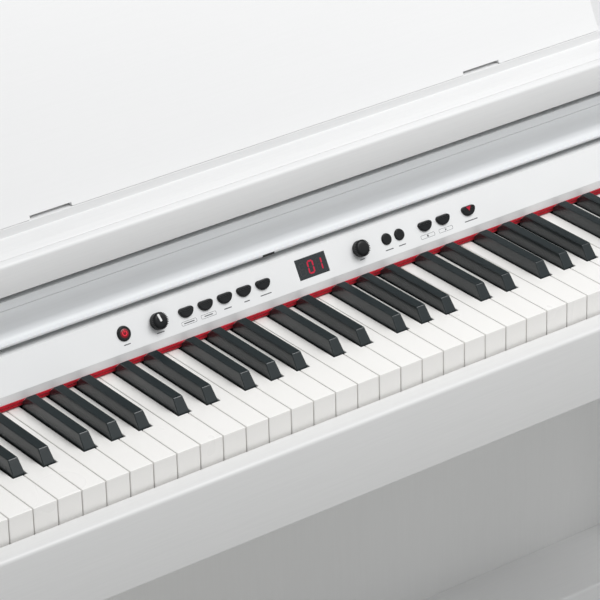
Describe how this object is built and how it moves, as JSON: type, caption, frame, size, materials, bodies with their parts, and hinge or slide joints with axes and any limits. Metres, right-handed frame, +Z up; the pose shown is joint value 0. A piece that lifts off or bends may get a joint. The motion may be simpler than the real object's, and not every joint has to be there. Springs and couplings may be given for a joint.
{
  "type": "digital piano on stand",
  "caption": "White console digital piano on a panel stand, with a sloping control strip, sliding fallboard, folding music rest and pedals.",
  "frame": {"origin": "on the floor, under the middle of the cabinet's width and depth", "axes": "+X to the player's right, +Y towards the back, +Z up"},
  "size_m": [1.376, 0.48, 1.0461],
  "materials": {
    "white_lacquer": "satin",
    "white_key_plastic": "gloss",
    "black_key_plastic": "satin",
    "panel_plastic": "satin",
    "control_plastic": "satin",
    "key_felt": "felt",
    "display_red": "gloss",
    "module_plastic": "matte",
    "chassis_plastic": "matte",
    "steel": "brushed",
    "pedal_brass": "polished",
    "glide_rubber": "matte",
    "speaker_black": "matte",
    "grille_metal": "powder coat",
    "board_green": "solder mask",
    "connector_plastic": "matte"
  },
  "bodies": {
    "root": {"left_side_panel": "white_lacquer", "right_side_panel": "white_lacquer", "left_front_leg": "white_lacquer", "right_front_leg": "white_lacquer", "left_foot": "white_lacquer", "right_foot": "white_lacquer", "foot_glides": "glide_rubber", "lower_back_panel": "white_lacquer", "upper_back_panel": "white_lacquer", "keybed": "white_lacquer", "key_slip": "white_lacquer", "cheek_blocks": "white_lacquer", "key_chassis": "chassis_plastic", "key_pivot_rod": "steel", "key_felt_strip": "key_felt", "control_panel": "panel_plastic", "display_module": "module_plastic", "display_window": "display_red", "top_board": "white_lacquer", "fallboard_rails": "steel", "music_rest_hinges": "steel", "pedal_box": "white_lacquer", "pedal_pivot_pin": "steel", "pedal_support_screw": "glide_rubber", "speakers": "speaker_black", "speaker_grilles": "grille_metal", "circuit_boards": "board_green", "connector_panel": "connector_plastic", "back_panel_screws": "steel"},
    "key_c": {"key_c": "white_key_plastic"},
    "key_c_sharp": {"key_c_sharp": "black_key_plastic"},
    "key_d": {"key_d": "white_key_plastic"},
    "key_d_sharp": {"key_d_sharp": "black_key_plastic"},
    "key_e": {"key_e": "white_key_plastic"},
    "key_f": {"key_f": "white_key_plastic"},
    "key_f_sharp": {"key_f_sharp": "black_key_plastic"},
    "key_g": {"key_g": "white_key_plastic"},
    "key_g_sharp": {"key_g_sharp": "black_key_plastic"},
    "key_a": {"key_a": "white_key_plastic"},
    "key_a_sharp": {"key_a_sharp": "black_key_plastic"},
    "key_b": {"key_b": "white_key_plastic"},
    "power_button": {"power_button": "control_plastic"},
    "mode_button_1": {"mode_button_1": "control_plastic"},
    "mode_button_2": {"mode_button_2": "control_plastic"},
    "mode_button_3": {"mode_button_3": "control_plastic"},
    "mode_button_4": {"mode_button_4": "control_plastic"},
    "mode_button_5": {"mode_button_5": "control_plastic"},
    "function_button": {"function_button": "control_plastic"},
    "select_button": {"select_button": "control_plastic"},
    "record_button": {"record_button": "control_plastic"},
    "play_button": {"play_button": "control_plastic"},
    "piano_button": {"piano_button": "control_plastic"},
    "volume_knob": {"volume_knob": "control_plastic"},
    "data_knob": {"data_knob": "control_plastic"},
    "soft_pedal": {"soft_pedal": "pedal_brass"},
    "sostenuto_pedal": {"sostenuto_pedal": "pedal_brass"},
    "sustain_pedal": {"sustain_pedal": "pedal_brass"},
    "fallboard": {"fallboard": "white_lacquer"},
    "fallboard_carriage": {"fallboard_carriage": "steel"},
    "music_rest": {"music_rest": "white_lacquer"}
  },
  "joints": [
    {"name": "key_c_press", "type": "hinge", "parent": "root", "child": "key_c", "pos_m": [0, 0.026, 0.714], "axis": [1, 0, 0], "range_deg": [0, 2.5], "stiffness_Nm_per_rad": 4, "springref_deg": -20.05},
    {"name": "key_c_sharp_press", "type": "hinge", "parent": "root", "child": "key_c_sharp", "pos_m": [0, 0.026, 0.714], "axis": [1, 0, 0], "range_deg": [0, 2.5], "stiffness_Nm_per_rad": 4, "springref_deg": -20.05},
    {"name": "key_d_press", "type": "hinge", "parent": "root", "child": "key_d", "pos_m": [0, 0.026, 0.714], "axis": [1, 0, 0], "range_deg": [0, 2.5], "stiffness_Nm_per_rad": 4, "springref_deg": -20.05},
    {"name": "key_d_sharp_press", "type": "hinge", "parent": "root", "child": "key_d_sharp", "pos_m": [0, 0.026, 0.714], "axis": [1, 0, 0], "range_deg": [0, 2.5], "stiffness_Nm_per_rad": 4, "springref_deg": -20.05},
    {"name": "key_e_press", "type": "hinge", "parent": "root", "child": "key_e", "pos_m": [0, 0.026, 0.714], "axis": [1, 0, 0], "range_deg": [0, 2.5], "stiffness_Nm_per_rad": 4, "springref_deg": -20.05},
    {"name": "key_f_press", "type": "hinge", "parent": "root", "child": "key_f", "pos_m": [0, 0.026, 0.714], "axis": [1, 0, 0], "range_deg": [0, 2.5], "stiffness_Nm_per_rad": 4, "springref_deg": -20.05},
    {"name": "key_f_sharp_press", "type": "hinge", "parent": "root", "child": "key_f_sharp", "pos_m": [0, 0.026, 0.714], "axis": [1, 0, 0], "range_deg": [0, 2.5], "stiffness_Nm_per_rad": 4, "springref_deg": -20.05},
    {"name": "key_g_press", "type": "hinge", "parent": "root", "child": "key_g", "pos_m": [0, 0.026, 0.714], "axis": [1, 0, 0], "range_deg": [0, 2.5], "stiffness_Nm_per_rad": 4, "springref_deg": -20.05},
    {"name": "key_g_sharp_press", "type": "hinge", "parent": "root", "child": "key_g_sharp", "pos_m": [0, 0.026, 0.714], "axis": [1, 0, 0], "range_deg": [0, 2.5], "stiffness_Nm_per_rad": 4, "springref_deg": -20.05},
    {"name": "key_a_press", "type": "hinge", "parent": "root", "child": "key_a", "pos_m": [0, 0.026, 0.714], "axis": [1, 0, 0], "range_deg": [0, 2.5], "stiffness_Nm_per_rad": 4, "springref_deg": -20.05},
    {"name": "key_a_sharp_press", "type": "hinge", "parent": "root", "child": "key_a_sharp", "pos_m": [0, 0.026, 0.714], "axis": [1, 0, 0], "range_deg": [0, 2.5], "stiffness_Nm_per_rad": 4, "springref_deg": -20.05},
    {"name": "key_b_press", "type": "hinge", "parent": "root", "child": "key_b", "pos_m": [0, 0.026, 0.714], "axis": [1, 0, 0], "range_deg": [0, 2.5], "stiffness_Nm_per_rad": 4, "springref_deg": -20.05},
    {"name": "power_button_push", "type": "slide", "parent": "root", "child": "power_button", "axis": [0, 0.8704, -0.4924], "range_m": [0, 0.0012], "stiffness_N_per_m": 400, "springref_m": -0.0012},
    {"name": "mode_button_1_push", "type": "slide", "parent": "root", "child": "mode_button_1", "axis": [0, 0.8704, -0.4924], "range_m": [0, 0.0012], "stiffness_N_per_m": 400, "springref_m": -0.0012},
    {"name": "mode_button_2_push", "type": "slide", "parent": "root", "child": "mode_button_2", "axis": [0, 0.8704, -0.4924], "range_m": [0, 0.0012], "stiffness_N_per_m": 400, "springref_m": -0.0012},
    {"name": "mode_button_3_push", "type": "slide", "parent": "root", "child": "mode_button_3", "axis": [0, 0.8704, -0.4924], "range_m": [0, 0.0012], "stiffness_N_per_m": 400, "springref_m": -0.0012},
    {"name": "mode_button_4_push", "type": "slide", "parent": "root", "child": "mode_button_4", "axis": [0, 0.8704, -0.4924], "range_m": [0, 0.0012], "stiffness_N_per_m": 400, "springref_m": -0.0012},
    {"name": "mode_button_5_push", "type": "slide", "parent": "root", "child": "mode_button_5", "axis": [0, 0.8704, -0.4924], "range_m": [0, 0.0012], "stiffness_N_per_m": 400, "springref_m": -0.0012},
    {"name": "function_button_push", "type": "slide", "parent": "root", "child": "function_button", "axis": [0, 0.8704, -0.4924], "range_m": [0, 0.0012], "stiffness_N_per_m": 400, "springref_m": -0.0012},
    {"name": "select_button_push", "type": "slide", "parent": "root", "child": "select_button", "axis": [0, 0.8704, -0.4924], "range_m": [0, 0.0012], "stiffness_N_per_m": 400, "springref_m": -0.0012},
    {"name": "record_button_push", "type": "slide", "parent": "root", "child": "record_button", "axis": [0, 0.8704, -0.4924], "range_m": [0, 0.0012], "stiffness_N_per_m": 400, "springref_m": -0.0012},
    {"name": "play_button_push", "type": "slide", "parent": "root", "child": "play_button", "axis": [0, 0.8704, -0.4924], "range_m": [0, 0.0012], "stiffness_N_per_m": 400, "springref_m": -0.0012},
    {"name": "piano_button_push", "type": "slide", "parent": "root", "child": "piano_button", "axis": [0, 0.8704, -0.4924], "range_m": [0, 0.0012], "stiffness_N_per_m": 400, "springref_m": -0.0012},
    {"name": "volume_knob_turn", "type": "hinge", "parent": "root", "child": "volume_knob", "pos_m": [-0.1673, -0.04605, 0.75806], "axis": [0, -0.8704, 0.4924], "range_deg": [-150, 150]},
    {"name": "data_knob_turn", "type": "hinge", "parent": "root", "child": "data_knob", "pos_m": [0.0539, -0.04605, 0.75806], "axis": [0, -0.8704, 0.4924], "continuous": true},
    {"name": "soft_pedal_press", "type": "hinge", "parent": "root", "child": "soft_pedal", "pos_m": [0, 0.175, 0.1], "axis": [1, 0, 0], "range_deg": [0, 8], "stiffness_Nm_per_rad": 12, "springref_deg": -6.88},
    {"name": "sostenuto_pedal_press", "type": "hinge", "parent": "root", "child": "sostenuto_pedal", "pos_m": [0, 0.175, 0.1], "axis": [1, 0, 0], "range_deg": [0, 8], "stiffness_Nm_per_rad": 12, "springref_deg": -6.88},
    {"name": "sustain_pedal_press", "type": "hinge", "parent": "root", "child": "sustain_pedal", "pos_m": [0, 0.175, 0.1], "axis": [1, 0, 0], "range_deg": [0, 8], "stiffness_Nm_per_rad": 12, "springref_deg": -6.88},
    {"name": "fallboard_slide", "type": "slide", "parent": "root", "child": "fallboard_carriage", "axis": [0, -0.9925, -0.1219], "range_m": [0, 0.185]},
    {"name": "fallboard_tilt", "type": "hinge", "parent": "fallboard_carriage", "child": "fallboard", "pos_m": [0, 0.16082, 0.8156], "axis": [1, 0, 0], "range_deg": [0, 6.5]},
    {"name": "music_rest_fold", "type": "hinge", "parent": "root", "child": "music_rest", "pos_m": [0, 0.01884, 0.866], "axis": [1, 0, 0], "range_deg": [-65, 0]}
  ],
  "couplings": [
    {"joint": "fallboard_tilt", "follows": "fallboard_slide", "rad_per_m": 0.6132}
  ]
}
